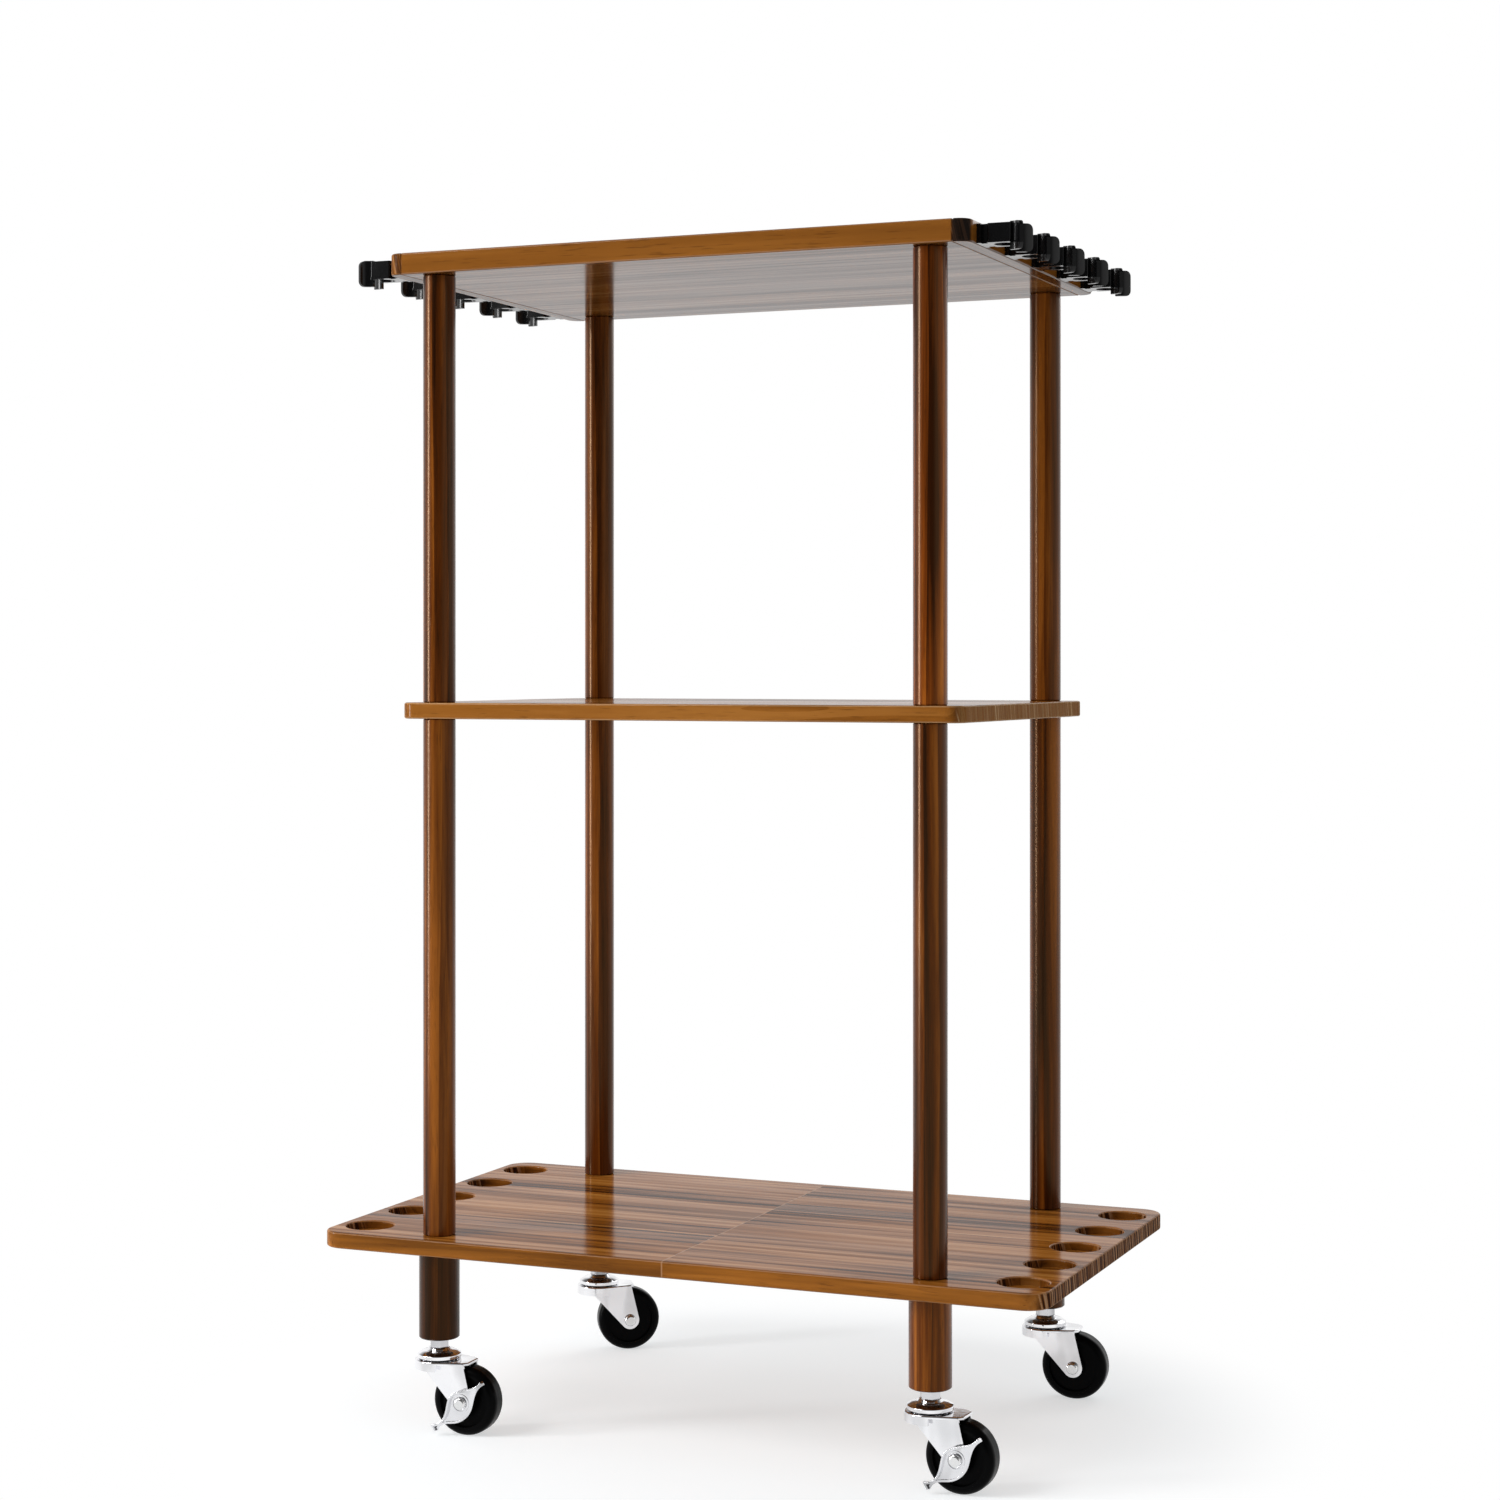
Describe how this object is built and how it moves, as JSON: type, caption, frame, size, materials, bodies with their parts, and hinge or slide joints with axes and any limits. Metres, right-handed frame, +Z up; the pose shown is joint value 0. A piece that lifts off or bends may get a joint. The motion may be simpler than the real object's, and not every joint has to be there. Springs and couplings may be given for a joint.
{
  "type": "rolling fishing rod rack",
  "caption": "Rolling wooden rack with shelves on round posts, side clips and butt recesses that hold fishing rods upright, on swivel casters with brakes at the front.",
  "frame": {"origin": "on the floor, under the middle of the shelves", "axes": "+Z up; +X along the rack's length, to the right seen from the front; +Y towards the back"},
  "size_m": [0.562, 0.3319, 0.8716],
  "materials": {
    "stained_wood": "walnut-brown stain under a glossy clear varnish",
    "plain_wood": "unfinished beech",
    "clip_plastic": "glossy black moulding",
    "bright_steel": "bright zinc plate",
    "insert_brass": "turned brass",
    "caster_plating": "bright nickel plate on pressed steel",
    "wheel_plastic": "semi-gloss black moulding"
  },
  "bodies": {
    "rack": {"top_shelf": "stained_wood", "top_rail_left": "stained_wood", "top_rail_right": "stained_wood", "middle_shelf": "stained_wood", "bottom_board_left": "stained_wood", "bottom_board_right": "stained_wood", "rod_clip_left_1": "clip_plastic", "rod_clip_left_2": "clip_plastic", "rod_clip_left_3": "clip_plastic", "rod_clip_left_4": "clip_plastic", "rod_clip_left_5": "clip_plastic", "rod_clip_right_1": "clip_plastic", "rod_clip_right_2": "clip_plastic", "rod_clip_right_3": "clip_plastic", "rod_clip_right_4": "clip_plastic", "rod_clip_right_5": "clip_plastic", "clip_screws_left": "bright_steel", "clip_screws_right": "bright_steel", "upper_post_front_left": "stained_wood", "lower_post_front_left": "stained_wood", "leg_front_left": "stained_wood", "upper_post_front_right": "stained_wood", "lower_post_front_right": "stained_wood", "leg_front_right": "stained_wood", "upper_post_rear_left": "stained_wood", "lower_post_rear_left": "stained_wood", "leg_rear_left": "stained_wood", "upper_post_rear_right": "stained_wood", "lower_post_rear_right": "stained_wood", "leg_rear_right": "stained_wood", "rail_dowels": "plain_wood", "board_dowels": "plain_wood", "post_studs": "bright_steel", "top_studs": "bright_steel", "threaded_inserts": "insert_brass", "caster_stem_front_left": "caster_plating", "caster_cup_front_left": "caster_plating", "caster_stem_front_right": "caster_plating", "caster_cup_front_right": "caster_plating", "caster_stem_rear_left": "caster_plating", "caster_cup_rear_left": "caster_plating", "caster_stem_rear_right": "caster_plating", "caster_cup_rear_right": "caster_plating", "swivel_balls": "caster_plating"},
    "fork_front_left": {"caster_fork_front_left": "caster_plating", "caster_axle_front_left": "bright_steel"},
    "wheel_front_left": {"caster_wheel_front_left": "wheel_plastic"},
    "brake_front_left": {"brake_lever_front_left": "caster_plating"},
    "fork_front_right": {"caster_fork_front_right": "caster_plating", "caster_axle_front_right": "bright_steel"},
    "wheel_front_right": {"caster_wheel_front_right": "wheel_plastic"},
    "brake_front_right": {"brake_lever_front_right": "caster_plating"},
    "fork_rear_left": {"caster_fork_rear_left": "caster_plating", "caster_axle_rear_left": "bright_steel"},
    "wheel_rear_left": {"caster_wheel_rear_left": "wheel_plastic"},
    "fork_rear_right": {"caster_fork_rear_right": "caster_plating", "caster_axle_rear_right": "bright_steel"},
    "wheel_rear_right": {"caster_wheel_rear_right": "wheel_plastic"}
  },
  "joints": [
    {"name": "swivel_front_left", "type": "hinge", "parent": "rack", "child": "fork_front_left", "pos_m": [-0.192, -0.137, 0.0545], "axis": [0, 0, 1], "continuous": true},
    {"name": "roll_front_left", "type": "hinge", "parent": "fork_front_left", "child": "wheel_front_left", "pos_m": [-0.16801, -0.13616, 0.0254], "axis": [-0.0349, 0.9994, 0], "continuous": true},
    {"name": "brake_lever_turn_front_left", "type": "hinge", "parent": "fork_front_left", "child": "brake_front_left", "pos_m": [-0.16801, -0.13616, 0.0254], "axis": [-0.0349, 0.9994, 0], "range_deg": [0, 25]},
    {"name": "swivel_front_right", "type": "hinge", "parent": "rack", "child": "fork_front_right", "pos_m": [0.192, -0.137, 0.0545], "axis": [0, 0, 1], "continuous": true},
    {"name": "roll_front_right", "type": "hinge", "parent": "fork_front_right", "child": "wheel_front_right", "pos_m": [0.21597, -0.13826, 0.0254], "axis": [0.0523, 0.9986, 0], "continuous": true},
    {"name": "brake_lever_turn_front_right", "type": "hinge", "parent": "fork_front_right", "child": "brake_front_right", "pos_m": [0.21597, -0.13826, 0.0254], "axis": [0.0523, 0.9986, 0], "range_deg": [0, 25]},
    {"name": "swivel_rear_left", "type": "hinge", "parent": "rack", "child": "fork_rear_left", "pos_m": [-0.192, 0.137, 0.0545], "axis": [0, 0, 1], "continuous": true},
    {"name": "roll_rear_left", "type": "hinge", "parent": "fork_rear_left", "child": "wheel_rear_left", "pos_m": [-0.1721, 0.15042, 0.0254], "axis": [-0.5592, 0.829, 0], "continuous": true},
    {"name": "swivel_rear_right", "type": "hinge", "parent": "rack", "child": "fork_rear_right", "pos_m": [0.192, 0.137, 0.0545], "axis": [0, 0, 1], "continuous": true},
    {"name": "roll_rear_right", "type": "hinge", "parent": "fork_rear_right", "child": "wheel_rear_right", "pos_m": [0.21594, 0.13867, 0.0254], "axis": [-0.0698, 0.9976, 0], "continuous": true}
  ]
}
